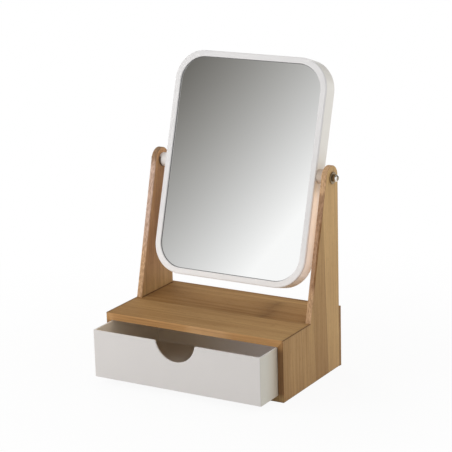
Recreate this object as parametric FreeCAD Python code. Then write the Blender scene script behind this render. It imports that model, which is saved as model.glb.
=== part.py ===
import FreeCAD, Part
import math
import os

# A table-top vanity mirror. A framed mirror tilts between two bamboo uprights,
# which rise out of a low bamboo box with one white drawer.
# X runs to the right, Y to the back and Z up, in millimetres. The origin is
# the middle of the box's underside.

Vector = FreeCAD.Vector
origin = Vector(0, 0, 0)
right = Vector(1, 0, 0)
back = Vector(0, 1, 0)
up = Vector(0, 0, 1)
match_tolerance = 1e-4       # for picking edges by their place

# Box
box_width = 200.0            # over both side boards
box_height = 62.3
board_depth = 116.5          # side, top and bottom boards, front to back
side_thickness = 6.0
top_thickness = 7.0
bottom_thickness = 6.5
back_thickness = 4.0
board_round = 1.0            # sanded edges of the bamboo boards
back_round = 0.8             # sanded edges of the back board

# Uprights, in one piece with the side boards
upright_height = 208.8       # from the floor to the top of the round end
upright_end_radius = 12.1
upright_foot = 55.7          # from the box's front to the foot of the sloping edge

# Pins that hold the back board
pin_radius = 0.7
pin_length = 15.0
pin_head_radius = 1.4
pin_head_thickness = 0.6
pin_corner_height = 12.0     # of the side pins, from the box's lower and upper faces
pin_spread = 45.0            # of the pins in the top and bottom boards, from the middle

# Drawer, one moulded tray
drawer_open = 32.7           # how far it stands out at rest
drawer_wall = 1.8
drawer_floor = 2.0
drawer_corner = 1.0          # outer upright corners
drawer_inner_round = 2.0     # inner corners and floor edges
drawer_lip_round = 0.4       # top of the walls
drawer_side_gap = 0.4
drawer_top_gap = 0.4
drawer_bottom_gap = 0.3
drawer_rear_gap = 1.5        # behind it when it is shut
notch_radius = 22.4          # finger notch, an arc cut from the front's top edge
notch_depth = 19.2
notch_corner = 1.0

# Mirror frame, upright and with the pivot axis at its middle before it tilts
mirror_side_gap = 8.4        # from the frame to each upright
mirror_height = 226.3
mirror_corner = 31.0
window_corner = 26.5         # of the rim's inner edge
mirror_depth = 20.2          # rim face to the back of the shell
mirror_setback = 8.0         # rim face to the pivot axis
mirror_tilt = 17.0           # degrees, top to the back
rim_width = 6.0
rim_thickness = 2.0
rim_outer_round = 1.0
rim_inner_round = 0.5
reveal = 0.4                 # shadow line between the rim and the shell
shell_wall = 2.2
shell_back_wall = 2.0
shell_back_round = 2.0
skirt_clearance = 0.1        # between the rim's skirt and the shell's wall
skirt_thickness = 1.2
skirt_length = 1.9
glass_thickness = 2.0
glass_clearance = 0.2        # between the glass's edge and the skirt
pad_thickness = 1.0
pad_clearance = 1.3          # between the pad's edge and the skirt
pad_notch_clearance = 1.0    # round each pivot boss

# Ribs behind the glass
rib_thickness = 1.2
rib_column = 40.0            # upright ribs, each side of the middle
rib_row = 56.0               # level ribs, above and below the middle one

# Snap tabs that hold the rim in the shell
tab_width = 12.0
tab_length = 5.0             # past the skirt
tab_side_height = 40.0       # of the tabs in the long walls, from the middle
tab_end_offset = 20.0        # of the tabs in the short walls, from the middle
bead_radius = 0.5
groove_radius = 0.6

# Pivots
stud_radius = 2.0
stud_bore_clearance = 0.08   # radial, in the upright
stud_end_chamfer = 0.4
stud_nut_reach = 4.0         # how far the stud runs into the cap nut
boss_radius = 4.6
boss_glass_gap = 0.1
insert_radius = 2.8
insert_length = 8.0
boss_floor = 3.0             # plastic past the insert's inner end
spacer_radius = 7.0
spacer_round = 0.6
spacer_bore_clearance = 0.15
running_gap = 0.2            # each side of the upright
washer_radius = 6.0
washer_thickness = 1.2
washer_bore_clearance = 0.15
nut_flats = 7.0
nut_hex_height = 3.2
nut_height = 5.5
nut_dome_radius = 3.1        # where the dome leaves the hexagon
nut_chamfer_share = 0.95     # of half the flats, at the chamfer's small end
nut_hole_end = 0.2           # past the stud's tip

# Places worked out from the sizes above
inner_x = box_width / 2 - side_thickness
outer_x = box_width / 2
box_front = -(board_depth + back_thickness) / 2
board_rear = box_front + board_depth
box_rear = board_rear + back_thickness
top_underside = box_height - top_thickness
foot_y = box_front + upright_foot
pivot_y = board_rear - upright_end_radius
pivot_z = upright_height - upright_end_radius

frame_x = inner_x - mirror_side_gap
rim_front = -mirror_setback
glass_front = rim_front + rim_thickness
glass_back = glass_front + glass_thickness
pad_back = glass_back + pad_thickness
shell_front = glass_front + reveal
shell_rear = rim_front + mirror_depth
shell_floor = shell_rear - shell_back_wall
skirt_outer = shell_wall + skirt_clearance
skirt_inner = skirt_outer + skirt_thickness
skirt_end = glass_front + skirt_length
tab_end = skirt_end + tab_length


def box(x0, x1, y0, y1, z0, z1):
    return Part.makeBox(x1 - x0, y1 - y0, z1 - z0, Vector(x0, y0, z0))


def rod(radius, start, length, direction=right):
    return Part.makeCylinder(radius, length, start, direction)


def flip(shape):
    """The same piece on the other side of the middle plane."""
    return shape.mirror(origin, right)


def same(a, b):
    return abs(a - b) < match_tolerance


def lies_at(edge, x=None, y=None, z=None):
    """True where both ends of an edge lie at each coordinate that is given."""
    wanted = ((0, x), (1, y), (2, z))
    return all(
        same(vertex.Point[axis], value)
        for axis, value in wanted if value is not None
        for vertex in edge.Vertexes
    )


def runs_along(edge, direction):
    """True for a straight edge parallel to the direction."""
    first, last = edge.Vertexes[0].Point, edge.Vertexes[-1].Point
    return same(last.sub(first).cross(direction).Length, 0) and same(edge.Length, last.sub(first).Length)


def prism(points, direction):
    """A solid with straight sides, from its end's corners and its length."""
    return Part.Face(Part.makePolygon(points + points[:1])).extrude(direction)


def mitre_wedge():
    """The triangle where the top board laps over the right side board."""
    corners = [
        Vector(inner_x, box_front, top_underside),
        Vector(outer_x, box_front, box_height),
        Vector(inner_x, box_front, box_height),
    ]
    return prism(corners, Vector(0, upright_foot, 0))


def upright_outline():
    """The tapered upright: sloping front, round end, plumb rear edge."""
    foot = Vector(inner_x, foot_y, box_height)
    centre = Vector(inner_x, pivot_y, pivot_z)
    reach = centre.sub(foot)
    # The sloping edge leaves the foot as a tangent to the round end.
    lean = math.atan2(reach.y, reach.z) - math.asin(upright_end_radius / reach.Length)
    run = math.sqrt(reach.Length ** 2 - upright_end_radius ** 2)
    touch = foot.add(Vector(0, math.sin(lean), math.cos(lean)).multiply(run))
    crown = centre.add(Vector(0, 0, upright_end_radius))
    rear = centre.add(Vector(0, upright_end_radius, 0))
    heel = Vector(inner_x, board_rear, box_height)
    return Part.Wire([
        Part.LineSegment(foot, touch).toShape(),
        Part.Arc(touch, crown, rear).toShape(),
        Part.LineSegment(rear, heel).toShape(),
        Part.LineSegment(heel, foot).toShape(),
    ])


def make_side_board(pins):
    """The right side of the box and its upright, cut from one board."""
    panel = box(inner_x, outer_x, box_front, board_rear, 0, box_height)
    panel = panel.makeFillet(board_round, [
        edge for edge in panel.Edges
        if lies_at(edge, x=outer_x, y=box_front)
        or lies_at(edge, x=outer_x, z=0)
        or lies_at(edge, y=box_front, z=0)
    ])
    panel = panel.cut(mitre_wedge())

    upright = Part.Face(upright_outline()).extrude(right * side_thickness)
    upright = upright.makeFillet(board_round, [
        edge for edge in upright.Edges
        if (lies_at(edge, x=inner_x) or lies_at(edge, x=outer_x))
        and not lies_at(edge, z=box_height)
    ])

    bore = rod(stud_radius + stud_bore_clearance, Vector(inner_x, pivot_y, pivot_z), side_thickness)
    return panel.fuse(upright).removeSplitter().cut(bore).cut(pins)


def make_top_board(pins):
    """Mitred to the side boards in front, and fitted between the uprights behind."""
    board = box(-inner_x, inner_x, box_front, board_rear, top_underside, box_height)
    board = board.fuse([mitre_wedge(), flip(mitre_wedge())]).removeSplitter()
    board = board.makeFillet(board_round, [
        edge for edge in board.Edges if lies_at(edge, y=box_front, z=box_height)
    ])
    return board.cut(pins)


def make_bottom_board(pins):
    board = box(-inner_x, inner_x, box_front, board_rear, 0, bottom_thickness)
    board = board.makeFillet(board_round, [
        edge for edge in board.Edges if lies_at(edge, y=box_front, z=0)
    ])
    return board.cut(pins)


def make_back_board(pins):
    """A thin board over the whole back of the box."""
    board = box(-outer_x, outer_x, board_rear, box_rear, 0, box_height)
    board = board.makeFillet(back_round, [
        edge for edge in board.Edges if lies_at(edge, y=box_rear)
    ])
    return board.cut(pins)


def make_pins():
    """Flat-headed pins, driven flush through the back board into the others."""
    side_x = outer_x - side_thickness / 2
    places = [
        (side_x, pin_corner_height),
        (side_x, box_height - pin_corner_height),
        (pin_spread, bottom_thickness / 2),
        (pin_spread, box_height - top_thickness / 2),
    ]
    pins = []
    for x, z in places:
        tip = Vector(x, box_rear - pin_length, z)
        head = Vector(x, box_rear - pin_head_thickness, z)
        pin = rod(pin_radius, tip, pin_length, back)
        pin = pin.fuse(rod(pin_head_radius, head, pin_head_thickness, back)).removeSplitter()
        pins += [pin, flip(pin)]
    return Part.makeCompound(pins)


def make_drawer():
    """A moulded tray, open at the top, with a finger notch in its front."""
    half = inner_x - drawer_side_gap
    front = box_front - drawer_open
    rear = board_rear - drawer_rear_gap - drawer_open
    low = bottom_thickness + drawer_bottom_gap
    high = top_underside - drawer_top_gap

    tray = box(-half, half, front, rear, low, high)
    tray = tray.makeFillet(drawer_corner, [
        edge for edge in tray.Edges if runs_along(edge, up)
    ])
    floor = low + drawer_floor
    inside = box(-half + drawer_wall, half - drawer_wall, front + drawer_wall,
                 rear - drawer_wall, floor, high + drawer_inner_round)
    inside = inside.makeFillet(drawer_inner_round, [
        edge for edge in inside.Edges if runs_along(edge, up) or lies_at(edge, z=floor)
    ])
    tray = tray.cut(inside)

    arc_centre = Vector(0, front, high - notch_depth + notch_radius)
    tray = tray.cut(rod(notch_radius, arc_centre, drawer_wall, back))
    # The notch's two top corners are the only edges along Y at the lip near the middle.
    tray = tray.makeFillet(notch_corner, [
        edge for edge in tray.Edges
        if lies_at(edge, z=high) and runs_along(edge, back)
        and abs(edge.BoundBox.Center.x) < notch_radius
    ])
    return tray.makeFillet(drawer_lip_round, [
        edge for edge in tray.Edges if lies_at(edge, z=high)
    ])


def frame_slab(inset, near, far, radius=None):
    """The frame's rounded outline, drawn in by inset, as a slab along Y."""
    x = frame_x - inset
    z = mirror_height / 2 - inset
    radius = radius or mirror_corner - inset
    dx, dz = x - radius, z - radius
    edges = []
    # One side and the corner after it, four times round.
    for start, end, centre, turn in (
        ((-dx, z), (dx, z), (dx, dz), 45),
        ((x, dz), (x, -dz), (dx, -dz), -45),
        ((dx, -z), (-dx, -z), (-dx, -dz), -135),
        ((-x, -dz), (-x, dz), (-dx, dz), 135),
    ):
        a, b = Vector(start[0], near, start[1]), Vector(end[0], near, end[1])
        hub = Vector(centre[0], near, centre[1])
        angle = math.radians(turn)
        middle = hub.add(Vector(math.cos(angle), 0, math.sin(angle)).multiply(radius))
        spoke = b.sub(hub)
        # A quarter turn clockwise, as seen from the front.
        after = hub.add(Vector(spoke.z, 0, -spoke.x))
        edges += [Part.LineSegment(a, b).toShape(), Part.Arc(b, middle, after).toShape()]
    return Part.Face(Part.Wire(edges)).extrude(back * (far - near))


def frame_ring(outer_inset, inner_inset, near, far):
    return frame_slab(outer_inset, near, far).cut(frame_slab(inner_inset, near, far))


def tab_seats():
    """X and Z of each snap tab's place on the outline, and its outward direction."""
    seats = []
    for side in (-1, 1):
        for step in (-1, 1):
            seats.append((side * frame_x, step * tab_side_height, Vector(side, 0, 0)))
            seats.append((step * tab_end_offset, side * mirror_height / 2, Vector(0, 0, side)))
    return seats


def tab_parts(radius, reach):
    """Bars of half-round bead at each tab's end, standing out of the skirt's face."""
    bars = []
    for x, z, outward in tab_seats():
        along = Vector(outward.z, 0, outward.x)
        middle = Vector(x, tab_end - groove_radius, z).sub(outward * skirt_outer)
        start = middle.sub(along * (tab_width / 2 + reach))
        bars.append(rod(radius, start, tab_width + 2 * reach, along))
    return bars


def make_bezel():
    """The front rim, with a skirt and snap tabs that hold it in the shell."""
    window = frame_slab(rim_width, rim_front, glass_front, window_corner)
    rim = frame_slab(0, rim_front, glass_front).cut(window)
    outer = [edge for edge in rim.Edges if lies_at(edge, y=rim_front) and on_outline(edge, 0)]
    rim = rim.makeFillet(rim_outer_round, outer)
    inner = [edge for edge in rim.Edges if lies_at(edge, y=rim_front) and on_outline(edge, rim_width)]
    rim = rim.makeFillet(rim_inner_round, inner)
    skirt = frame_ring(skirt_outer, skirt_inner, glass_front, skirt_end)

    tabs = []
    for x, z, outward in tab_seats():
        half_x = tab_width / 2 if outward.x == 0 else skirt_inner
        half_z = tab_width / 2 if outward.z == 0 else skirt_inner
        tabs.append(box(x - half_x, x + half_x, skirt_end, tab_end, z - half_z, z + half_z))
    wall = frame_ring(skirt_outer, skirt_inner, skirt_end, tab_end)
    tabs = wall.common(Part.makeCompound(tabs))
    return rim.fuse([skirt, tabs] + tab_parts(bead_radius, 0)).removeSplitter()


def on_outline(edge, inset):
    """True for an edge on the frame's outline drawn in by inset."""
    reach_x = max(abs(vertex.Point.x) for vertex in edge.Vertexes)
    reach_z = max(abs(vertex.Point.z) for vertex in edge.Vertexes)
    return same(reach_x, frame_x - inset) or same(reach_z, mirror_height / 2 - inset)


def make_shell():
    """The moulded back and side band, with ribs, pivot bosses and snap grooves."""
    body = frame_slab(0, shell_front, shell_rear)
    body = body.makeFillet(shell_back_round, [
        edge for edge in body.Edges if lies_at(edge, y=shell_rear)
    ])
    hollow = frame_slab(shell_wall, shell_front, shell_floor)
    shell = body.cut(hollow)

    half = rib_thickness / 2
    high = mirror_height / 2
    ribs = [box(x - half, x + half, pad_back, shell_floor, -high, high)
            for x in (-rib_column, rib_column)]
    ribs += [box(-frame_x, frame_x, pad_back, shell_floor, z - half, z + half)
             for z in (-rib_row, 0, rib_row)]
    ribs = hollow.common(ribs[0].fuse(ribs[1:]))

    boss_length = insert_length + boss_floor
    boss = rod(boss_radius, Vector(frame_x - boss_length, 0, 0), boss_length - shell_wall)
    # Flat in front, where the glass passes over it.
    boss = boss.common(box(0, frame_x, glass_back + boss_glass_gap, boss_radius,
                           -boss_radius, boss_radius))
    socket = rod(insert_radius, Vector(frame_x - insert_length, 0, 0), insert_length)

    shell = shell.fuse([ribs, boss, flip(boss)]).removeSplitter()
    return shell.cut([socket, flip(socket)] + tab_parts(groove_radius, groove_radius))


def make_glass():
    return frame_slab(skirt_inner + glass_clearance, glass_front, glass_back)


def make_pad():
    """A foam sheet between the glass and the ribs, cut away round the bosses."""
    pad = frame_slab(skirt_inner + pad_clearance, glass_back, pad_back)
    half = boss_radius + pad_notch_clearance
    inner_end = frame_x - insert_length - boss_floor - pad_notch_clearance
    notch = box(inner_end, frame_x, glass_back, pad_back, -half, half)
    return pad.cut([notch, flip(notch)])


# Each pivot's stack runs outwards along X: insert, spacer, upright, washer, cap nut.
washer_start = outer_x + running_gap
nut_start = washer_start + washer_thickness


def tube(outer, inner, start, length):
    at = Vector(start, 0, 0)
    return rod(outer, at, length).cut(rod(inner, at, length))


def make_insert():
    return tube(insert_radius, stud_radius, frame_x - insert_length, insert_length)


def make_stud():
    """Threaded rod, screwed into the insert and running in the upright's bore."""
    start = frame_x - insert_length
    end = nut_start + stud_nut_reach
    stud = rod(stud_radius, Vector(start, 0, 0), end - start)
    return stud.makeChamfer(stud_end_chamfer, [
        edge for edge in stud.Edges if lies_at(edge, x=start) or lies_at(edge, x=end)
    ])


def make_spacer():
    length = mirror_side_gap - running_gap
    spacer = tube(spacer_radius, stud_radius + spacer_bore_clearance, frame_x, length)
    return spacer.makeFillet(spacer_round, [
        edge for edge in spacer.Edges
        if lies_at(edge, x=frame_x + length) and same(edge.Curve.Radius, spacer_radius)
    ])


def make_washer():
    return tube(washer_radius, stud_radius + washer_bore_clearance, washer_start, washer_thickness)


def make_cap_nut():
    """A hexagon with chamfered corners under a domed cap, blind inside."""
    corner = nut_flats / 2 / math.cos(math.radians(30))
    corners = [Vector(nut_start, corner * math.cos(math.radians(60 * k)),
                      corner * math.sin(math.radians(60 * k))) for k in range(6)]
    hexagon = prism(corners, right * nut_hex_height)
    small = nut_flats / 2 * nut_chamfer_share
    flare = nut_hex_height / math.tan(math.radians(30))
    cone = Part.makeCone(small + flare, small, nut_hex_height, Vector(nut_start, 0, 0), right)
    # The dome is the cap of a sphere that meets the hexagon at nut_dome_radius.
    rise = nut_height - nut_hex_height
    sphere_radius = (nut_dome_radius ** 2 + rise ** 2) / (2 * rise)
    sphere = Part.makeSphere(sphere_radius, Vector(nut_start + nut_height - sphere_radius, 0, 0))
    dome = sphere.common(rod(nut_flats / 2, Vector(nut_start, 0, 0), nut_height))
    hole = rod(stud_radius, Vector(nut_start, 0, 0), stud_nut_reach + nut_hole_end)
    return hexagon.common(cone).fuse(dome).removeSplitter().cut(hole)


def hang(shape):
    """Tilts a piece of the mirror about the pivot axis and lifts it to the uprights."""
    hung = shape.copy()
    hung.rotate(origin, right, -mirror_tilt)
    hung.translate(Vector(0, pivot_y, pivot_z))
    return hung


pins = make_pins()
side_board = make_side_board(pins)
pieces = {
    "right_side_board": side_board,
    "left_side_board": flip(side_board),
    "top_board": make_top_board(pins),
    "bottom_board": make_bottom_board(pins),
    "back_board": make_back_board(pins),
    "back_pins": pins,
    "drawer_tray": make_drawer(),
    "mirror_shell": hang(make_shell()),
    "front_bezel": hang(make_bezel()),
    "mirror_glass": hang(make_glass()),
    "glass_pad": hang(make_pad()),
}
for name, make in (
    ("pivot_insert", make_insert),
    ("pivot_stud", make_stud),
    ("pivot_spacer", make_spacer),
    ("pivot_washer", make_washer),
    ("cap_nut", make_cap_nut),
):
    piece = make()
    pieces["right_" + name] = hang(piece)
    pieces["left_" + name] = hang(flip(piece))

os.makedirs("parts", exist_ok=True)
for name, shape in pieces.items():
    shape.exportStep("parts/" + name + ".step")
    print(name, len(shape.Solids), "solid", round(shape.Volume, 1), "mm3", shape.isValid())
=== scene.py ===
import math

import bmesh
import bpy
import numpy as np
from mathutils import Matrix, Vector


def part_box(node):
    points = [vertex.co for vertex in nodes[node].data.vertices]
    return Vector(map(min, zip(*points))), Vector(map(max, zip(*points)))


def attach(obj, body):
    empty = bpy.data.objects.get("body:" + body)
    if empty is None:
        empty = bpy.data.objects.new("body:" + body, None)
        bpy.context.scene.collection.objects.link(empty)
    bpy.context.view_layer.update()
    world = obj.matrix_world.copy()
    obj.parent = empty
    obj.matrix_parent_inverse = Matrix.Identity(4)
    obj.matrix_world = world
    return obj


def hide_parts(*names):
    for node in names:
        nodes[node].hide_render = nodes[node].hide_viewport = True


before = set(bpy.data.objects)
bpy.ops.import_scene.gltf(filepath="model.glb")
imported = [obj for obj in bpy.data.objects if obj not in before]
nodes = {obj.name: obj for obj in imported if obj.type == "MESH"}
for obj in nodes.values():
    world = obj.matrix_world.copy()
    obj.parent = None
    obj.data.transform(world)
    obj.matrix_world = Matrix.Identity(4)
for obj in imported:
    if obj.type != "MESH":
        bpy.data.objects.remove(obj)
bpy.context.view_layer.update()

# Dressing for a table mirror on a low bamboo box with one drawer. Blender's own lengths
# are in metres. The measures of boards, mouldings and turned parts, and of the patterns in
# their materials, are in millimetres.

print("frame loaded,", len(nodes), "pieces")

# The box: its top, its right side, its front, and the rear of its side boards.
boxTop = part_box("back_board")[1].z * 1000
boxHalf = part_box("back_board")[1].x * 1000
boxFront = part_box("bottom_board")[0].y * 1000
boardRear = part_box("bottom_board")[1].y * 1000

# The mirror's own axes at rest. It turns about the pivot axis, which runs along X.
tilt = math.radians(17.0)
pivot = sum(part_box("right_pivot_washer"), Vector()) / 2 * 1000
backwards = np.array([0.0, math.cos(tilt), -math.sin(tilt)])
upwards = np.array([0.0, math.sin(tilt), math.cos(tilt)])

# The viewpoint, from the right and a little above.
view = {
    "azimuth": 30.77,             # degrees, from straight in front towards the right
    "elevation": 15.49,
    "roll": -1.55,
    "distance": 1.78314,
    "target": (0.00853, -0.00525, 0.15005),
    "lens": 145.52,               # millimetres
    "sensor": 36,                 # its width, millimetres
    "farthest": 50,               # how far it sees, metres
}


# A direction from an azimuth, 0 in front and 90 at the right, and an elevation.
def towards(azimuth, elevation):
    a, e = math.radians(azimuth), math.radians(elevation)
    return Vector((math.sin(a) * math.cos(e), -math.cos(a) * math.cos(e), math.sin(e)))


# The matrix of a thing at a place, from the directions of its own X, Y and Z axes.
def placing(xAxis, yAxis, zAxis, place):
    return Matrix.Translation(place) @ Matrix((xAxis, yAxis, zAxis)).transposed().to_4x4()


def makeCamera():
    outward = towards(view["azimuth"], view["elevation"])
    level = (-outward).cross(Vector((0, 0, 1))).normalized()
    upward = level.cross(-outward)
    roll = math.radians(view["roll"])
    right = level * math.cos(roll) + upward * math.sin(roll)
    top = upward * math.cos(roll) - level * math.sin(roll)
    data = bpy.data.cameras.new("camera")
    data.sensor_width = view["sensor"]
    data.lens = view["lens"]
    data.clip_end = view["farthest"]
    camera = bpy.data.objects.new("camera", data)
    place = Vector(view["target"]) + outward * view["distance"]
    camera.matrix_world = placing(right, top, outward, place)
    bpy.context.scene.collection.objects.link(camera)
    bpy.context.scene.camera = camera
    print("camera set")


class Wire:
    # An output socket in a node tree. Arithmetic on wires and numbers adds Math nodes.
    def __init__(self, tree, socket=None):
        self.tree = tree
        self.socket = socket

    # Adds any node: its settings first, then the values or wires of its sockets.
    def node(self, kind, settings=None, sockets=None, output=0):
        made = self.tree.nodes.new("ShaderNode" + kind)
        for name, value in (settings or {}).items():
            if name == "stops":
                fillRamp(made.color_ramp, value)
            else:
                setattr(made, name, value)
        for name, value in (sockets or {}).items():
            if isinstance(value, Wire):
                self.tree.links.new(value.socket, made.inputs[name])
            else:
                made.inputs[name].default_value = value
        return Wire(self.tree, made.outputs[output] if made.outputs else None)

    def maths(self, operation, *values):
        return self.node("Math", {"operation": operation}, dict(enumerate(values)))

    def __add__(self, other):
        return self.maths("ADD", self, other)

    def __radd__(self, other):
        return self.maths("ADD", other, self)

    def __sub__(self, other):
        return self.maths("SUBTRACT", self, other)

    def __rsub__(self, other):
        return self.maths("SUBTRACT", other, self)

    def __mul__(self, other):
        return self.maths("MULTIPLY", self, other)

    def __rmul__(self, other):
        return self.maths("MULTIPLY", other, self)

    def __truediv__(self, other):
        return self.maths("DIVIDE", self, other)

    def __rtruediv__(self, other):
        return self.maths("DIVIDE", other, self)

    def __pow__(self, other):
        return self.maths("POWER", self, other)

    def __abs__(self):
        return self.maths("ABSOLUTE", self)

    # The larger of this and another value, and the smaller.
    def atLeast(self, other):
        return self.maths("MAXIMUM", self, other)

    def atMost(self, other):
        return self.maths("MINIMUM", self, other)

    # 0 at low, 1 at high and a smooth step between them; low may be the larger one.
    def step(self, low, high):
        return self.node("MapRange", {"interpolation_type": "SMOOTHSTEP"}, {0: self, 1: low, 2: high})

    # 1 between two places, with a smooth step of the given half width at each.
    def between(self, low, high, half):
        return self.step(low - half, low + half) * self.step(high + half, high - half)

    # 1 at zero, falling to a half at the given distance on either side.
    def line(self, distance):
        ratio = self / distance
        return 1 / (1 + ratio * ratio)

    # The three numbers of a vector.
    def parts(self):
        split = self.node("SeparateXYZ", sockets={0: self}).socket.node
        return [Wire(self.tree, socket) for socket in split.outputs]

    # Noise with cells of the given lengths along three wires.
    def noise(self, places, lengths, detail=2.0, roughness=0.55):
        scaled = [place / length for place, length in zip(places, lengths)]
        vector = self.node("CombineXYZ", sockets=dict(enumerate(scaled)))
        return self.node("TexNoise", sockets={"Vector": vector, "Scale": 1.0,
                                              "Detail": detail, "Roughness": roughness})

    # The colour at this wire's value on a ramp of places and colours.
    def ramp(self, stops, interpolation="LINEAR"):
        read = self.node("ValToRGB", {"stops": stops}, {0: self})
        read.socket.node.color_ramp.interpolation = interpolation
        return read

    # A colour between two others; this wire is the share of the second.
    def blend(self, first, second):
        pair = [colour if isinstance(colour, Wire) else (*colour, 1.0) for colour in (first, second)]
        return self.node("Mix", {"data_type": "RGBA"}, {0: self, 6: pair[0], 7: pair[1]}, output=2)


def fillRamp(ramp, stops):
    while len(ramp.elements) > len(stops):
        ramp.elements.remove(ramp.elements[-1])
    while len(ramp.elements) < len(stops):
        ramp.elements.new(1.0)
    for element, (place, colour) in zip(ramp.elements, stops):
        element.position = place
        element.color = (*colour, 1.0)


def newTree(owner):
    owner.use_nodes = True
    owner.node_tree.nodes.clear()
    return Wire(owner.node_tree)


def newMaterial(name):
    material = bpy.data.materials.new(name)
    return material, newTree(material)


# The three coordinates on a piece, in millimetres.
def placeOn(wire):
    return [part * 1000 for part in wire.node("TexCoord", output="Object").parts()]


# The least of several wires.
def least(wires):
    result = wires[0]
    for wire in wires[1:]:
        result = result.atMost(wire)
    return result


# Ends a material in a Principled shader. Height, in millimetres, goes through a Bump node.
def finishShader(wire, sockets, height=None):
    if height is not None:
        sockets["Normal"] = wire.node("Bump", sockets={"Strength": 1.0, "Distance": 0.001,
                                                       "Height": height})
    shader = wire.node("BsdfPrincipled", sockets=sockets)
    wire.node("OutputMaterial", sockets={0: shader})


def dress(name, material):
    mesh = nodes[name].data
    mesh.materials.clear()
    mesh.materials.append(material)


# The outline of a side board: the box's panel, and the upright with its sloping front.
upright = {
    "foot": -4.55,                # where the sloping edge meets the box's top
    "radius": 12.1,               # of its round end
    "height": 208.8,
    "thickness": 6.0,
}
# A factor that makes a distance too long to count, where it doesn't apply.
tooFar = 1e3
# Half the width of a step that has to look sharp.
hairline = 0.01


# 1 above the box's top.
def aboveBox(z):
    return z.step(boxTop - hairline, boxTop + hairline)


# 1 behind the foot of the uprights' sloping edges.
def behindFoot(y):
    return y.step(upright["foot"] - hairline, upright["foot"] + hairline)


# How far a place is from a side board's narrow faces. It is the least of its distances from
# the front, which slopes above the box, from the rear, the bottom and the round end.
def sideBoardRim(places):
    x, y, z = places
    radius = upright["radius"]
    pivotY = boardRear - radius
    pivotZ = upright["height"] - radius
    run, rise = pivotY - upright["foot"], pivotZ - boxTop
    lean = math.atan2(run, rise) - math.asin(radius / math.hypot(run, rise))
    above = aboveBox(z)
    slope = (y - upright["foot"]) * math.cos(lean) - (z - boxTop) * math.sin(lean)
    front = (y - boxFront) * (1 - above) + slope * above
    fromPivot = ((y - pivotY) * (y - pivotY) + (z - pivotZ) * (z - pivotZ)) ** 0.5
    crown = radius - fromPivot + (pivotZ - z).atLeast(0.0) * tooFar
    return least([front, boardRear - y, z, crown])


# How far a place is from the narrow front face of a level board.
def frontRim(places):
    return places[1] - boxFront


# How far a place is from where other boards are glued on. The top board reaches the box's
# sides in front of the uprights, and stops at the uprights' inner faces behind.
def topJoint(places):
    x, y, z = places
    return boxHalf - upright["thickness"] * behindFoot(y) - abs(x)


# A side board meets the top board at the box's top, but not on an upright's outer face, and
# the back board at its rear.
def sideJoint(places):
    x, y, z = places
    inner = boxHalf - upright["thickness"]
    outside = abs(x).step(inner + 0.05, inner + 0.15)
    toTop = abs(z - boxTop) + outside * behindFoot(y) * tooFar
    return least([boardRear - y + aboveBox(z) * tooFar, toTop])


rims = {"right_side_board": sideBoardRim, "left_side_board": sideBoardRim,
        "top_board": frontRim, "bottom_board": frontRim}
glued = {"right_side_board": sideJoint, "left_side_board": sideJoint, "top_board": topJoint}


# Bamboo boards are glued up from strips.
bamboo = {
    "strip": 26.0,                # width of a strip
    "waver": 0.8,                 # how far a strip's edge wanders
    "waverCells": (70.0, 9.0, 9.0),
    "stripShift": 173.0,          # moves the fibres of each strip against the next
    "pale": (0.700, 0.455, 0.205),
    "deep": (0.300, 0.152, 0.050),
    "dark": (0.120, 0.055, 0.020),
    "seam": (0.105, 0.046, 0.014),
    "roughness": 0.50,
    "gloss": 0.18,
    "streakHeight": 0.035,
    "fibreHeight": 0.0175,
    "streakRoughness": 0.16,      # how much the streaks change the roughness
}
# Layers of the grain: the lengths of their cells along the grain, across it and through it,
# their detail, their roughness as noise, and how much they change the tone.
grain = {
    "broad": {"cells": (190.0, 5.0, 5.0), "detail": 2.0, "roughness": 0.55, "share": 0.55},
    "streak": {"cells": (75.0, 1.1, 1.1), "detail": 3.0, "roughness": 0.55, "share": 0.75},
    "fibre": {"cells": (16.0, 0.28, 0.28), "detail": 2.0, "roughness": 0.65, "share": 0.30},
    "cloud": {"cells": (60.0, 26.0, 26.0), "detail": 2.0, "roughness": 0.55, "share": 0.25},
}
# Dark dashes, where bundles of fibres come to the surface.
dashes = {"cells": (7.0, 0.42, 0.42), "none": 0.60, "full": 0.74, "shade": 0.34,
          "depth": 0.02, "roughness": 0.12}
# Glue between the strips: half the width of its line, how dark it is and how deep.
glueLine = {"half": 0.16, "shade": 0.45, "depth": 0.05}
# A knot is a thin dark line across a strip in a soft halo. Line and halo are half widths.
knotForm = {"line": 2.0, "lineShade": 0.24, "halo": 9.0, "haloShade": 0.48, "height": 0.12,
            "wander": 7.0, "cells": (9.0, 7.0, 7.0), "end": 0.5}
# Narrow faces are sawn and sanded, so fibres show there in dark and pale. A face is full at
# one distance from the board's rim and gone at another. A stripe's sides and ends are soft.
sawing = {"dark": (0.60, 0.55, 0.50), "pale": (1.04, 1.04, 1.04), "share": 0.9,
          "full": 0.25, "none": 0.9, "stripeSide": 0.3, "stripeEnd": 8}
# Painted shade darkens the lowest edge, where a board meets the floor.
bottomShade = {"none": 1.4, "full": 0.1, "shade": 0.6}
# Colours of the sawn faces.
edges = {
    "ochre": (0.420, 0.270, 0.120),
    "brown": (0.230, 0.118, 0.050),
    "tan": (0.360, 0.190, 0.075),
    "orange": (0.620, 0.343, 0.140),
    "gold": (0.700, 0.420, 0.200),
    "peach": (0.680, 0.435, 0.255),
    "russet": (0.510, 0.305, 0.190),
    "umber": (0.440, 0.260, 0.160),
    "pink": (0.700, 0.485, 0.360),
    "blush": (0.700, 0.510, 0.415),
    "taupe": (0.340, 0.215, 0.125),
}

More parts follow.
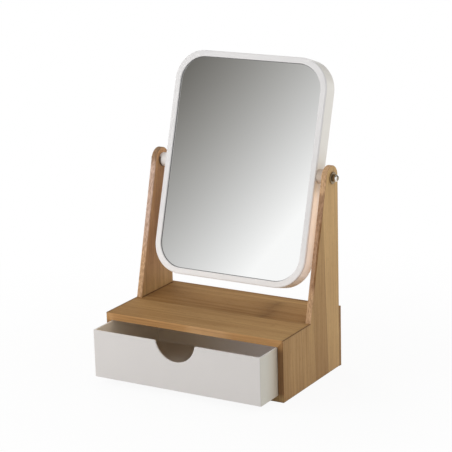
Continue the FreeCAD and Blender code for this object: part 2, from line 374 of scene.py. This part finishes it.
# Axes are the numbers of the axes along a board's grain, across its strips and through it.
# First is where its first strip starts, and slant how far the strips shift in a millimetre
# along the grain. Tones are the strips' shares of the pale colour, and rise is how much the
# tone grows in a metre along the grain. Redder turns the hue from one place on to another.
# Shift moves the fibres, so that no two boards are alike.
# Sawn gives the colours of the narrow faces by their distance along the grain from the
# board's low end, contrast how strongly fibres show there, and stripe a band on them that
# lies beyond a distance from the middle and between two places.
# Knots are (from, to, place, strength), and joint is half the width of the glue where
# boards meet.
boards = {
    "right_side_board": {
        "axes": (2, 1, 0), "first": -72.2, "slant": 0.05, "shift": 0.0,
        "tones": (0.27, 0.31, 0.37, 0.26, 0.66), "rise": 1.1,
        # Here the russet and umber stops, from 97 to 181, are painted shadow of the mirror frame, and
        # the brown beside the drawer is partly the board's own colour and partly painted shade of the
        # drawer.
        "sawn": ((0, "ochre"), (5, "ochre"), (9, "brown"), (50, "brown"), (57, "tan"), (60, "tan"),
                 (63, "peach"), (88, "peach"), (97, "russet"), (150, "russet"), (160, "umber"),
                 (181, "umber"), (185, "peach")),
        "stripe": {"beyond": 98.3, "low": 97.0, "high": 158.0, "colour": (0.300, 0.150, 0.062)},
        "contrast": 3.2, "joint": 0.35,
    },
    "left_side_board": {
        "axes": (2, 1, 0), "first": -73.0, "slant": 0.0, "shift": 400.0,
        "tones": (0.49, 0.45, 0.63, 0.58, 0.65), "rise": 0.1,
        "redder": {"hue": 0.485, "from": 50.0, "to": 125.0},
        "sawn": ((0, "ochre"), (5, "ochre"), (9, "brown"), (52, "brown"), (56, "orange"),
                 (62, "orange"), (63, "peach"), (103, "peach"), (122, "pink"), (145, "blush"),
                 (190, "blush"), (202, "taupe")),
        "stripe": {"beyond": 98.9, "low": 30.0, "high": 60.0, "colour": (0.210, 0.140, 0.085)},
        "contrast": 3.2, "joint": 0.35,
    },
    "top_board": {
        "axes": (0, 1, 2), "first": -60.0, "slant": 0.0, "shift": 40.0,
        # Here the third strip's low tone, under the mirror, is painted shade of the mirror, and the
        # rise darkens the left end: painted shade where the key lamp falls strongest.
        "tones": (0.31, 0.31, 0.15, 0.27, 0.36), "rise": 0.9,
        "sawn": ((0, "gold"), (10, "orange"), (90, "orange"), (100, "gold"), (134, "gold"),
                 (146, "orange")),
        "contrast": 1.5, "joint": 0.8,
        "knots": ((-8.0, 18.0, 47.0, 0.7), (18.0, 44.0, 41.0, 0.6)),
    },
    "bottom_board": {
        "axes": (0, 1, 2), "first": -60.0, "slant": 0.0, "shift": 900.0,
        "tones": (0.42, 0.44, 0.40, 0.46, 0.52), "rise": 0.0,
        "sawn": ((0, "ochre"),), "contrast": 1.5,
    },
    "back_board": {
        "axes": (0, 2, 1), "first": -10.0, "slant": 0.0, "shift": 1500.0,
        "tones": (0.12, 0.18, 0.10, 0.16), "rise": 0.0,
        "knots": ((16.0, 42.0, -35.0, 0.8), (42.0, 68.0, 60.0, 0.7)),
    },
}


# The strips: a constant tone each, each strip's number, and 1 on the glue between them. The
# glue is where the distance from the nearer edge of a strip is zero.
def stripPattern(board, grainPlaces):
    along, across, through = grainPlaces
    waver = along.noise(grainPlaces, bamboo["waverCells"], 1.0) - 0.5
    fromFirst = across - board["first"] + along * board["slant"] + waver * bamboo["waver"]
    count = fromFirst / bamboo["strip"]
    tones = board["tones"]
    stops = [(i / len(tones), (tone,) * 3) for i, tone in enumerate(tones)]
    tone = (count / len(tones)).ramp(stops, "CONSTANT")
    number = count.maths("FLOOR", count)
    inStrip = count.maths("FRACT", count)
    toEdge = (0.5 - abs(inStrip - 0.5)) * bamboo["strip"]
    return tone, number, toEdge.line(glueLine["half"])


# Draws a board's knots over its colour, and gives their height too.
def drawKnots(board, colour, grainPlaces):
    along, across, through = grainPlaces
    height = 0.0
    for low, high, place, strength in board.get("knots", ()):
        within = across.between(low, high, knotForm["end"])
        wander = (along.noise(grainPlaces, knotForm["cells"]) - 0.5) * knotForm["wander"]
        off = along - place + wander
        line = off.line(knotForm["line"]) * within
        halo = off.line(knotForm["halo"]) * within
        colour = (halo * strength * knotForm["haloShade"]).blend(colour, bamboo["dark"])
        colour = (line * strength * knotForm["lineShade"]).blend(colour, bamboo["dark"])
        height = line * (strength * knotForm["height"]) + height
    return colour, height


# The colour of the sawn faces, which changes along the grain and with the streaks.
def sawnColour(name, board, grainPlaces, streak):
    along, across, through = grainPlaces
    start, end = (corner[board["axes"][0]] * 1000 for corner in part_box(name))
    stops = [(place / (end - start), edges[edge]) for place, edge in board["sawn"]]
    colour = ((along - start) / (end - start)).ramp(stops)
    if "stripe" in board:
        stripe = board["stripe"]
        side = sawing["stripeSide"]
        share = abs(through).step(stripe["beyond"] - side, stripe["beyond"] + side)
        share = share * along.between(stripe["low"], stripe["high"], sawing["stripeEnd"])
        colour = share.blend(colour, stripe["colour"])
    shade = (streak * board["contrast"] + 0.5).blend(sawing["dark"], sawing["pale"])
    return colour.node("Mix", {"data_type": "RGBA", "blend_type": "MULTIPLY"},
                       {0: 1.0, 6: colour, 7: shade}, output=2)


def bambooMaterial(name, board):
    material, wire = newMaterial(name + "_bamboo")
    places = placeOn(wire)
    grainPlaces = [places[axis] for axis in board["axes"]]
    along, across, through = grainPlaces
    tone, number, glue = stripPattern(board, grainPlaces)

    # Fibres run along the grain, and differ from strip to strip.
    fibrePlaces = (along + number * bamboo["stripShift"] + board["shift"], across, through)
    layers = {}
    for kind, layer in grain.items():
        cells = wire.noise(fibrePlaces, layer["cells"], layer["detail"], layer["roughness"])
        layers[kind] = cells - 0.5
        tone = tone + layers[kind] * layer["share"]
    tone = tone + along * (board["rise"] / 1000)
    colour = tone.blend(bamboo["deep"], bamboo["pale"])
    if "redder" in board:
        redder = board["redder"]
        colour = wire.node("HueSaturation", sockets={"Hue": redder["hue"], "Color": colour,
                                                     "Fac": along.step(redder["from"], redder["to"])})
    dash = wire.noise(fibrePlaces, dashes["cells"], 1.0).step(dashes["none"], dashes["full"])
    colour = (dash * dashes["shade"]).blend(colour, bamboo["dark"])
    colour, knotHeight = drawKnots(board, colour, grainPlaces)
    colour = (glue * glueLine["shade"]).blend(colour, bamboo["seam"])

    if name in rims:
        face = rims[name](places).step(sawing["none"], sawing["full"]) * sawing["share"]
        colour = face.blend(colour, sawnColour(name, board, grainPlaces, layers["streak"]))
    if name in glued:
        colour = glued[name](places).line(board["joint"]).blend(colour, bamboo["seam"])
    # Painted shade along the lowest edge.
    colour = (places[2].step(bottomShade["none"], bottomShade["full"]) * bottomShade["shade"]).blend(colour, bamboo["dark"])

    rough = (bamboo["roughness"] + layers["streak"] * bamboo["streakRoughness"]
             + dash * dashes["roughness"])
    height = (layers["streak"] * bamboo["streakHeight"] + layers["fibre"] * bamboo["fibreHeight"]
              - dash * dashes["depth"] - glue * glueLine["depth"] + knotHeight)
    finishShader(wire, {"Base Color": colour, "Roughness": rough, "IOR": 1.45,
                        "Specular IOR Level": bamboo["gloss"]}, height)
    return material


def makeBoards():
    for name, board in boards.items():
        dress(name, bambooMaterial(name, board))
    print("bamboo boards dressed")


# White mouldings: the drawer is satin, and the mirror's frame is glossier. Grain is the
# width of the cells in their skin, and pitting its height.
mouldings = {
    "rim": {"colour": (0.85, 0.835, 0.83), "roughness": 0.20, "grain": 0.9, "pitting": 0.0015},
    "shell": {"colour": (0.86, 0.845, 0.820), "roughness": 0.20, "grain": 0.9, "pitting": 0.0015},
    "drawer": {"colour": (0.705, 0.675, 0.652), "roughness": 0.42, "grain": 0.6, "pitting": 0.006},
    # The spacers' taupe is painted shade on white plastic.
    "spacer": {"colour": (0.600, 0.500, 0.420), "roughness": 0.35, "grain": 0.9, "pitting": 0.004},
}
# What all mouldings share. Clouds darken the colour a little and swell the surface, and
# specks of dust lie on it.
clouds = {"cells": 45.0, "darkest": 0.955, "roughness": 0.10, "height": 0.03}
specks = {"cells": 1.6, "none": 0.70, "full": 0.80, "share": 0.10, "roughness": 0.1,
          "colour": (0.45, 0.42, 0.38)}
skinRoughness = 0.05


# Tints are pairs of a function that gives the share of a colour at a place, and the colour.
def plasticMaterial(name, moulding, *tints):
    material, wire = newMaterial(name)
    places = placeOn(wire)
    cloud = wire.noise(places, [clouds["cells"]] * 3, 3.0)
    skin = wire.noise(places, [moulding["grain"]] * 3, 2.0)
    dust = wire.noise(places, [specks["cells"]] * 3, 1.0).step(specks["none"], specks["full"])
    darkest = [part * clouds["darkest"] for part in moulding["colour"]]
    tint = cloud.blend(darkest, moulding["colour"])
    for share, colour in tints:
        tint = share(places).blend(tint, colour)
    tint = (dust * specks["share"]).blend(tint, specks["colour"])
    rough = (moulding["roughness"] + (cloud - 0.5) * clouds["roughness"]
             + (skin - 0.5) * skinRoughness + dust * specks["roughness"])
    height = (skin - 0.5) * moulding["pitting"] + (cloud - 0.5) * clouds["height"]
    finishShader(wire, {"Base Color": tint, "Roughness": rough, "IOR": 1.49}, height)
    return material


# The tray's low and high corners.
tray = [corner * 1000 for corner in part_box("drawer_tray")]
# Its colours. The outer faces of its sides get a yellower tint, painted warm light bounced from the
# bamboo, and a painted shade towards the back, between two distances from its front. Its inner faces
# get a painted warm shade, and painted light between two places across it. They start more than half a
# wall in from its outer faces.
trayColours = {
    "sides": (0.700, 0.672, 0.590),
    "rearShade": (0.640, 0.560, 0.450),
    "rearShadeSpan": (8, 34),
    "inside": (0.86, 0.76, 0.62),
    "insideLight": (0.955, 0.918, 0.900),
    "insideLightSpan": (-80.0, 50.0),
    "innerFaces": (1.0, 1.3),
    "outerFaces": (0.5, 0.1),
}


# 1 on the outer faces of the tray's left and right sides.
def traySides(places):
    none, full = trayColours["outerFaces"]
    return abs(places[0]).step(tray[1].x - none, tray[1].x - full)


# 1 where painted shade darkens the tray's sides, towards the back.
def shadedRearSides(places):
    none, full = trayColours["rearShadeSpan"]
    return traySides(places) * places[1].step(tray[0].y + none, tray[0].y + full)


# 1 on the tray's inner faces.
def insideTray(places):
    x, y, z = places
    inward = least([tray[1].x - abs(x), y - tray[0].y, tray[1].y - y, z - tray[0].z])
    return inward.step(*trayColours["innerFaces"])


# 1 on the tray's inner faces away from its left end, where painted light whitens them.
def litInsideRight(places):
    return insideTray(places) * places[0].step(*trayColours["insideLightSpan"])


# All four tints are painted light and shade.
trayTints = (
    (traySides, trayColours["sides"]),
    (shadedRearSides, trayColours["rearShade"]),
    (insideTray, trayColours["inside"]),
    (litInsideRight, trayColours["insideLight"]),
)


# Painted shade darkens the seam between the mirror's rim and shell, as the shadow in its groove,
# mostly in its lower half. The seam is in front of the pivot, half is half the width of the shade's
# line, and the shade starts at one distance below the pivot and is full at another.
seam = {"forward": 5.8, "half": 0.45, "start": 5, "full": 30, "share": 0.5,
        "colour": (0.26, 0.20, 0.15)}


def seamShade(places):
    x, y, z = places
    behind = (y - pivot.y) * math.cos(tilt) - (z - pivot.z) * math.sin(tilt)
    lower = z.step(pivot.z - seam["start"], pivot.z - seam["full"])
    return (behind + seam["forward"]).line(seam["half"]) * lower * seam["share"]


# Painted light makes the rim whiter low down, between two heights, and the shell whiter and warmer on
# its right side, as warm light bounced from the bamboo.
paintedLight = {
    "rim": {"none": 165.0, "full": 95.0, "colour": (0.93, 0.905, 0.89)},
    "shell": {"none": 50.0, "full": 84.0, "colour": (0.955, 0.925, 0.860)},
}


def litLowerRim(places):
    return places[2].step(paintedLight["rim"]["none"], paintedLight["rim"]["full"])


def litRightShell(places):
    return places[0].step(paintedLight["shell"]["none"], paintedLight["shell"]["full"])


# Painted light and painted shade in the seam, on the rim and the shell.
rimTints = ((litLowerRim, paintedLight["rim"]["colour"]), (seamShade, seam["colour"]))
shellTints = ((litRightShell, paintedLight["shell"]["colour"]), (seamShade, seam["colour"]))


# Painted light makes the left spacer whiter than the right one, and a painted shadow darkens its outer
# end up to a little above the pivot.
litLeftSpacer = {"colour": (0.84, 0.81, 0.78), "none": 10.0, "full": -10.0}
spacerShadow = {"colour": (0.075, 0.045, 0.025), "share": 0.92, "end": (-91.2, -91.9), "above": (6.0, 2.5)}


def onLitLeft(places):
    return places[0].step(litLeftSpacer["none"], litLeftSpacer["full"])


def onSpacerShadow(places):
    none, full = spacerShadow["above"]
    lower = places[2].step(pivot.z + none, pivot.z + full)
    return places[0].step(*spacerShadow["end"]) * lower * spacerShadow["share"]


spacerTints = ((onLitLeft, litLeftSpacer["colour"]), (onSpacerShadow, spacerShadow["colour"]))


# The mirror glass: slow clouds between two tints, and specks on it.
mirrorGlass = {
    "tints": ((0.925, 0.935, 0.930), (0.945, 0.950, 0.945)),
    "clouds": 60.0,
    "speckCells": 0.8,
    "speckStep": (0.74, 0.80),
    "speckColour": (0.60, 0.60, 0.58),
    "speckShare": 0.12,
    "roughness": 0.004,
    "cloudRoughness": 0.01,
    "speckRoughness": 0.12,
}


def mirrorMaterial():
    material, wire = newMaterial("silvered_glass")
    places = placeOn(wire)
    cloud = wire.noise(places, [mirrorGlass["clouds"]] * 3, 3.0)
    speck = wire.noise(places, [mirrorGlass["speckCells"]] * 3, 1.0).step(*mirrorGlass["speckStep"])
    tint = cloud.blend(*mirrorGlass["tints"])
    tint = (speck * mirrorGlass["speckShare"]).blend(tint, mirrorGlass["speckColour"])
    rough = (mirrorGlass["roughness"] + cloud * mirrorGlass["cloudRoughness"]
             + speck * mirrorGlass["speckRoughness"])
    finishShader(wire, {"Base Color": tint, "Metallic": 1.0, "Roughness": rough})
    return material


# Foam is matt, dark in its cells and paler between them.
foams = {
    "pad_foam": {"dark": (0.03, 0.03, 0.032), "pale": (0.09, 0.09, 0.095), "height": 0.08},
    # The ring round the glass is a dark piece for painted shade in the gap between glass and rim.
    "shadow_ring_foam": {"dark": (0.12, 0.12, 0.122), "pale": (0.24, 0.24, 0.242), "height": 0.02},
}
foamSkin = {"cells": 0.5, "grain": 0.7, "roughness": 0.80, "change": 0.2}


def foamMaterial(name):
    foam = foams[name]
    material, wire = newMaterial(name)
    places = placeOn(wire)
    cells = wire.noise(places, [foamSkin["cells"]] * 3, 3.0, foamSkin["grain"])
    tint = cells.blend(foam["dark"], foam["pale"])
    rough = foamSkin["roughness"] + (cells - 0.5) * foamSkin["change"]
    finishShader(wire, {"Base Color": tint, "Roughness": rough}, cells * foam["height"])
    return material


def makeMouldings():
    dress("front_bezel", plasticMaterial("rim_white", mouldings["rim"], *rimTints))
    dress("mirror_shell", plasticMaterial("shell_white", mouldings["shell"], *shellTints))
    dress("drawer_tray", plasticMaterial("drawer_white", mouldings["drawer"], *trayTints))
    dress("mirror_glass", mirrorMaterial())
    dress("glass_pad", foamMaterial("pad_foam"))
    print("mouldings and glass dressed")


# Points in metres from distances across, behind and above the pivot, in millimetres.
def onMirror(across, behind, above):
    across, behind, above = np.broadcast_arrays(across, behind, above)
    sideways = np.array([1.0, 0.0, 0.0])
    place = np.array([0.0, pivot.y, pivot.z])
    return (place + across[..., None] * sideways + behind[..., None] * backwards
            + above[..., None] * upwards) / 1000


# A closed piece from a grid of points. Its columns always run round; its rows do where
# ring is true, and otherwise its first and last rows are single points.
def addPiece(name, points, material, ring):
    rows, columns = points.shape[:2]
    index = np.arange(rows * columns).reshape(rows, columns)
    after = np.roll(index, -1, axis=0)
    if not ring:
        index, after = index[:-1], after[:-1]
    quads = np.stack([index, np.roll(index, -1, axis=1), np.roll(after, -1, axis=1), after], axis=-1)
    mesh = bpy.data.meshes.new(name)
    mesh.from_pydata(points.reshape(-1, 3).tolist(), [], quads.reshape(-1, 4).tolist())
    work = bmesh.new()
    work.from_mesh(mesh)
    bmesh.ops.remove_doubles(work, verts=work.verts, dist=1e-7)
    bmesh.ops.recalc_face_normals(work, faces=work.faces)
    work.to_mesh(mesh)
    work.free()
    mesh.shade_smooth()
    mesh.set_sharp_from_angle(angle=math.radians(35))
    mesh.materials.append(material)
    piece = bpy.data.objects.new(name, mesh)
    bpy.context.scene.collection.objects.link(piece)
    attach(piece, "mirror")
    return piece


# A dark ring round the glass, in the corner between it and the rim, put there as painted shade of the
# gap. Half sizes and corner are the window's, glass is how far the glass's face is behind the pivot,
# radius is the ring's own, and it is sunk a little into the glass and the rim.
shadowRing = {"halfWidth": 79.6, "halfHeight": 107.15, "corner": 26.5, "glass": -6.0, "radius": 0.6,
        "sunk": 0.15}


def makeShadowRing():
    # The window's outline: four quarter circles, joined by straight sides.
    angle = np.radians(np.linspace(0, 90, 17)[None, :] + np.array([0, 90, 180, 270])[:, None])
    reach = np.array([[1, 1], [-1, 1], [-1, -1], [1, -1]])[:, None, :]
    hub = reach * (np.array([shadowRing["halfWidth"], shadowRing["halfHeight"]]) - shadowRing["corner"])
    outward = np.stack([np.cos(angle), np.sin(angle)], axis=-1)
    outline = (hub + outward * shadowRing["corner"]).reshape(-1, 1, 2)
    outward = outward.reshape(-1, 1, 2)
    # Across it: a quarter circle from the glass to the rim, and a corner sunk in both.
    curve = np.radians(np.linspace(0, 90, 9))
    radius, sunk = shadowRing["radius"], shadowRing["sunk"]
    inward = np.concatenate([np.cos(curve) * radius, [-sunk, -sunk, radius]])
    forward = np.concatenate([np.sin(curve) * radius, [radius, -sunk, -sunk]])
    path = outline - outward * inward[None, :, None]
    points = onMirror(path[..., 0], shadowRing["glass"] - forward[None, :], path[..., 1])
    addPiece("glass_shadow_ring", points, foamMaterial("shadow_ring_foam"), ring=True)
    print("seal made")


# Turned parts on the pivots, from the mirror outwards: spacer, washer and domed cap nut.
# Start is the distance from the mirror's middle, round the radius of a tube's edges, and
# columns how many faces go round. The nut's chamfer is its cones' radius at the hexagon's
# ends, depth is its blind bore's, and dome is the radius of the dome's foot.
turned = {
    "spacer": {"start": 85.6, "length": 8.2, "radius": 7.0, "bore": 2.15, "round": 0.6,
               "columns": 64},
    "washer": {"start": 100.2, "length": 1.2, "radius": 6.0, "bore": 2.15, "round": 0.35,
               "columns": 64},
    "nut": {"start": 101.4, "length": 3.2, "flats": 7.0, "bore": 2.0, "chamfer": 3.33, "depth": 4.2,
            "dome": 3.1, "height": 5.5, "columns": 96},
}


# A turned part: radii, a row for each distance from the mirror's middle, go round the axis.
def turnPiece(name, distances, radii, side, material, ring=True):
    angle = np.radians(np.arange(radii.shape[1]) * 360 / radii.shape[1])
    points = onMirror(side * distances[:, None], radii * np.cos(angle), radii * np.sin(angle))
    return addPiece(name, points, material, ring)


# A tube's section: its bore, and its outside with both edges rounded by quarter circles.
def tubeSection(part):
    curve = np.radians(np.linspace(0, 90, 7))
    far = part["start"] + part["length"]
    edge = part["round"]
    distance = np.concatenate([[far, part["start"]], part["start"] + edge * (1 - np.cos(curve)),
                               far - edge * (1 - np.sin(curve))])
    radius = np.concatenate([[part["bore"]] * 2, part["radius"] - edge * (1 - np.sin(curve)),
                             part["radius"] - edge * (1 - np.cos(curve))])
    return distance, radius[:, None] * np.ones(part["columns"])


# The nut's section: its blind bore, then a hexagon cut by a cone at each end, then the
# dome, a quarter of an ellipse. Round the axis, the hexagon's radius is half the flats
# over the cosine of the angle from the middle of the nearest flat.
def nutSection(nut):
    even = np.ones(nut["columns"])
    angle = np.radians(np.arange(nut["columns"]) * 360 / nut["columns"])
    hexagon = nut["flats"] / 2 / np.cos((angle % math.radians(60)) - math.radians(30))
    up = np.linspace(0, nut["length"], 15)
    cone = nut["chamfer"] + np.minimum(up, nut["length"] - up) * math.tan(math.radians(60))
    sides = np.minimum(hexagon[None, :], cone[:, None])
    curve = np.radians(np.linspace(0, 90, 13))
    dome = nut["dome"] * np.cos(curve)
    rise = nut["length"] + (nut["height"] - nut["length"]) * np.sin(curve)
    bore = np.array([0.0, nut["bore"], nut["bore"]])
    distance = nut["start"] + np.concatenate([[nut["depth"], nut["depth"], 0.0], up, rise])
    return distance, np.concatenate([bore[:, None] * even, sides, dome[:, None] * even])


# The nuts get a painted highlight round the shoulders of their domes, in the colour listed last in
# their entry.
metals = {
    # The nickels' dark colours are painted dark reflection: plated metal showing the dim room round
    # it.
    "dark_nickel": {"colour": (0.30, 0.225, 0.135), "roughness": 0.30},
    "nickel_painted_highlight": {"colour": (0.36, 0.300, 0.220), "roughness": 0.20, "paintedHighlight": (0.90, 0.87, 0.82)},
    "stud_steel": {"colour": (0.55, 0.55, 0.56), "roughness": 0.32},
    "pin_steel": {"colour": (0.50, 0.50, 0.50), "roughness": 0.38},
    "insert_brass": {"colour": (0.72, 0.52, 0.24), "roughness": 0.30},
}
# What all metals share: fine grooves round the axis and clouds of tarnish.
grooving = {"cells": (0.12, 0.2, 1.0), "roughness": 0.1, "height": 0.004}
tarnish = {"cells": 2.5, "darkest": 0.8, "roughness": 0.15}
# The painted highlight on a nut starts and ends beyond its hexagon, and its edges wander.
highlightSpan = {"start": (-0.3, 0.2), "end": (1.6, 1.1), "wander": 0.6}


def metalMaterial(name):
    metal = metals[name]
    material, wire = newMaterial(name)
    x, y, z = placeOn(wire)
    radius = (y * y + z * z) ** 0.5
    grooves = wire.noise((radius, x, 0.0), grooving["cells"], 2.0)
    cloud = wire.noise((x, y, z), [tarnish["cells"]] * 3, 3.0)
    tint = cloud.blend([part * tarnish["darkest"] for part in metal["colour"]], metal["colour"])
    # Painted highlight on the dome's shoulder.
    if "paintedHighlight" in metal:
        shoulder = turned["nut"]["start"] + turned["nut"]["length"]
        beyond = abs(x) + (cloud - 0.5) * highlightSpan["wander"] - shoulder
        share = beyond.step(*highlightSpan["start"]) * beyond.step(*highlightSpan["end"])
        tint = share.blend(tint, metal["paintedHighlight"])
    rough = (metal["roughness"] + (cloud - 0.5) * tarnish["roughness"]
             + (grooves - 0.5) * grooving["roughness"])
    height = (grooves - 0.5) * grooving["height"]
    finishShader(wire, {"Base Color": tint, "Metallic": 1.0, "Roughness": rough}, height)
    return material


def makeHardware():
    made = {name: metalMaterial(name) for name in metals}
    # The spacers are white plastic with painted shade, painted light on the left one, and a painted
    # shadow at its outer end.
    spacerPainted = plasticMaterial("spacer_painted_light_shade", mouldings["spacer"], *spacerTints)
    tubes = {"spacer": (spacerPainted, "frame_white"), "washer": (made["dark_nickel"], "dark_nickel")}
    for name, side in (("right", 1), ("left", -1)):
        for kind, (material, slot) in tubes.items():
            distances, radii = tubeSection(turned[kind])
            piece = turnPiece(name + "_turned_" + kind, distances, radii, side, material)
            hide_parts(name + "_pivot_" + kind)
        distances, radii = nutSection(turned["nut"])
        piece = turnPiece(name + "_domed_nut", distances, radii, side, made["nickel_painted_highlight"],
                          ring=False)
        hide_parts(name + "_cap_nut")
        dress(name + "_pivot_stud", made["stud_steel"])
        dress(name + "_pivot_insert", made["insert_brass"])
    dress("back_pins", made["pin_steel"])
    print("hardware made")


# Soft studio light. Each lamp is a square area light aimed at the object's middle. Lamps
# stay out of reflections, which show the room alone.
lamps = {
    "key": {"azimuth": -48.0, "elevation": 18.0, "distance": 1.5, "size": 1.0, "power": 10.0},
    "rearRight": {"azimuth": 120.0, "elevation": 42.0, "distance": 1.5, "size": 1.0, "power": 3.0},
    "rearLeft": {"azimuth": -128.0, "elevation": 30.0, "distance": 1.5, "size": 0.8, "power": 5.0},
}
lampTarget = (0, 0, 0.15)
# Light that the bamboo throws across the narrow gap at the right of the mirror.
bounce = {"length": 0.110, "width": 0.014, "power": 0.0034, "colour": (1.0, 0.92, 0.94),
          "place": (0.0937, 0.0230, 0.130)}


def linkLamp(name, data):
    light = bpy.data.objects.new(name, data)
    light.visible_glossy = False
    bpy.context.scene.collection.objects.link(light)
    return light


def makeLamps():
    for name, lamp in lamps.items():
        data = bpy.data.lights.new(name, "AREA")
        data.energy = lamp["power"]
        data.size = lamp["size"]
        outward = towards(lamp["azimuth"], lamp["elevation"])
        light = linkLamp(name, data)
        light.location = Vector(lampTarget) + outward * lamp["distance"]
        light.rotation_mode = "QUATERNION"
        light.rotation_quaternion = outward.to_track_quat("Z", "Y")
    data = bpy.data.lights.new("bounce", "AREA")
    data.shape = "RECTANGLE"
    data.size = bounce["width"]
    data.size_y = bounce["length"]
    data.energy = bounce["power"]
    data.color = bounce["colour"]
    light = linkLamp("bounce", data)
    light.visible_camera = False
    outward = Vector((1, 0, 0))
    along = Vector(upwards)
    light.matrix_world = placing(along.cross(outward), along, outward, bounce["place"])
    print("lamps placed")


room = {
    "ambient": 0.58,              # light on matt surfaces
    "dark": 0.385,                # the darkest reflection, as shown on screen
    "gamma": 2.2,                 # from what a screen shows to the light itself
    "tint": (1.0, 0.93, 0.78),    # of the darkest reflection
    "tintShare": 0.62,
    "horizon": 0.13,              # how high the white near the horizon reaches
}
# What the mirror shows of the room: the share of the way from dark to white in one
# direction, and how fast it grows to the right and downwards.
reflection = {"middle": (-0.4900, -0.8277, 0.2735), "share": 0.614, "right": 8.35, "down": 3.84}


# The room: white to the camera, an even glow on matt surfaces, and for reflections a soft
# edge between its dark side, up and to the left, and its bright side. It's white near
# the horizon, where it meets the floor.
def makeWorld():
    world = bpy.data.worlds.new("room")
    bpy.context.scene.world = world
    wire = newTree(world)
    middle = Vector(reflection["middle"])
    sideways = Vector((0, 0, 1)).cross(middle).normalized()
    edge = sideways * reflection["right"] - middle.cross(sideways) * reflection["down"]
    direction = wire.node("TexCoord", output="Generated")
    share = wire.node("VectorMath", {"operation": "DOT_PRODUCT"}, {0: direction, 1: edge}, output=1)
    share = share + (reflection["share"] - middle.dot(edge))
    share = wire.node("Clamp", sockets={0: share})
    share = share.atLeast(direction.parts()[2].step(room["horizon"], 0.0))
    shown = room["dark"] + (1 - room["dark"]) * share
    rays = wire.node("LightPath").socket.node
    camera = Wire(wire.tree, rays.outputs["Is Camera Ray"])
    glossy = Wire(wire.tree, rays.outputs["Is Glossy Ray"])
    strength = camera + glossy * shown ** room["gamma"] + (1 - camera - glossy) * room["ambient"]
    gloom = (1 - shown) / (1 - room["dark"])
    tint = (glossy * gloom * gloom * room["tintShare"]).blend((1.0, 1.0, 1.0), room["tint"])
    background = wire.node("Background", sockets={0: tint, 1: strength})
    wire.node("OutputWorld", sockets={0: background})
    print("room made")


ground = {
    "half": 12.0,                 # half its width, metres
    "colour": (0.88, 0.875, 0.87),
    "glow": 0.92,                 # how much of its brightness is its own near the object
    "near": 150.0,                # from here on it grows, to all of it at far
    "far": 500.0,
}


# A plain floor, which is white where it isn't in the object's shadow.
def makeFloor():
    half = ground["half"]
    corners = [(-half, -half, 0.0), (half, -half, 0.0), (half, half, 0.0), (-half, half, 0.0)]
    mesh = bpy.data.meshes.new("floor")
    mesh.from_pydata(corners, [], [(0, 1, 2, 3)])
    floor = bpy.data.objects.new("floor", mesh)
    bpy.context.scene.collection.objects.link(floor)
    material, wire = newMaterial("floor")
    x, y, z = placeOn(wire)
    away = ((x * x + y * y) ** 0.5).step(ground["near"], ground["far"])
    rays = wire.node("LightPath").socket.node
    camera = Wire(wire.tree, rays.outputs["Is Camera Ray"])
    glossy = Wire(wire.tree, rays.outputs["Is Glossy Ray"])
    passing = Wire(wire.tree, rays.outputs["Is Transmission Ray"])
    seen = (camera + glossy + passing).atMost(1.0)
    share = seen * (ground["glow"] + (1 - ground["glow"]) * away)
    matt = wire.node("BsdfDiffuse", sockets={0: (*ground["colour"], 1.0)})
    glow = wire.node("Emission", sockets={0: (1.0, 1.0, 1.0, 1.0), 1: 1.0})
    surface = wire.node("MixShader", sockets={0: share, 1: matt, 2: glow})
    wire.node("OutputMaterial", sockets={0: surface})
    mesh.materials.append(material)
    print("floor laid")


makeCamera()
makeWorld()
makeLamps()
makeFloor()
makeBoards()
makeMouldings()
makeShadowRing()
makeHardware()

bpy.context.scene.view_settings.view_transform = "Standard"
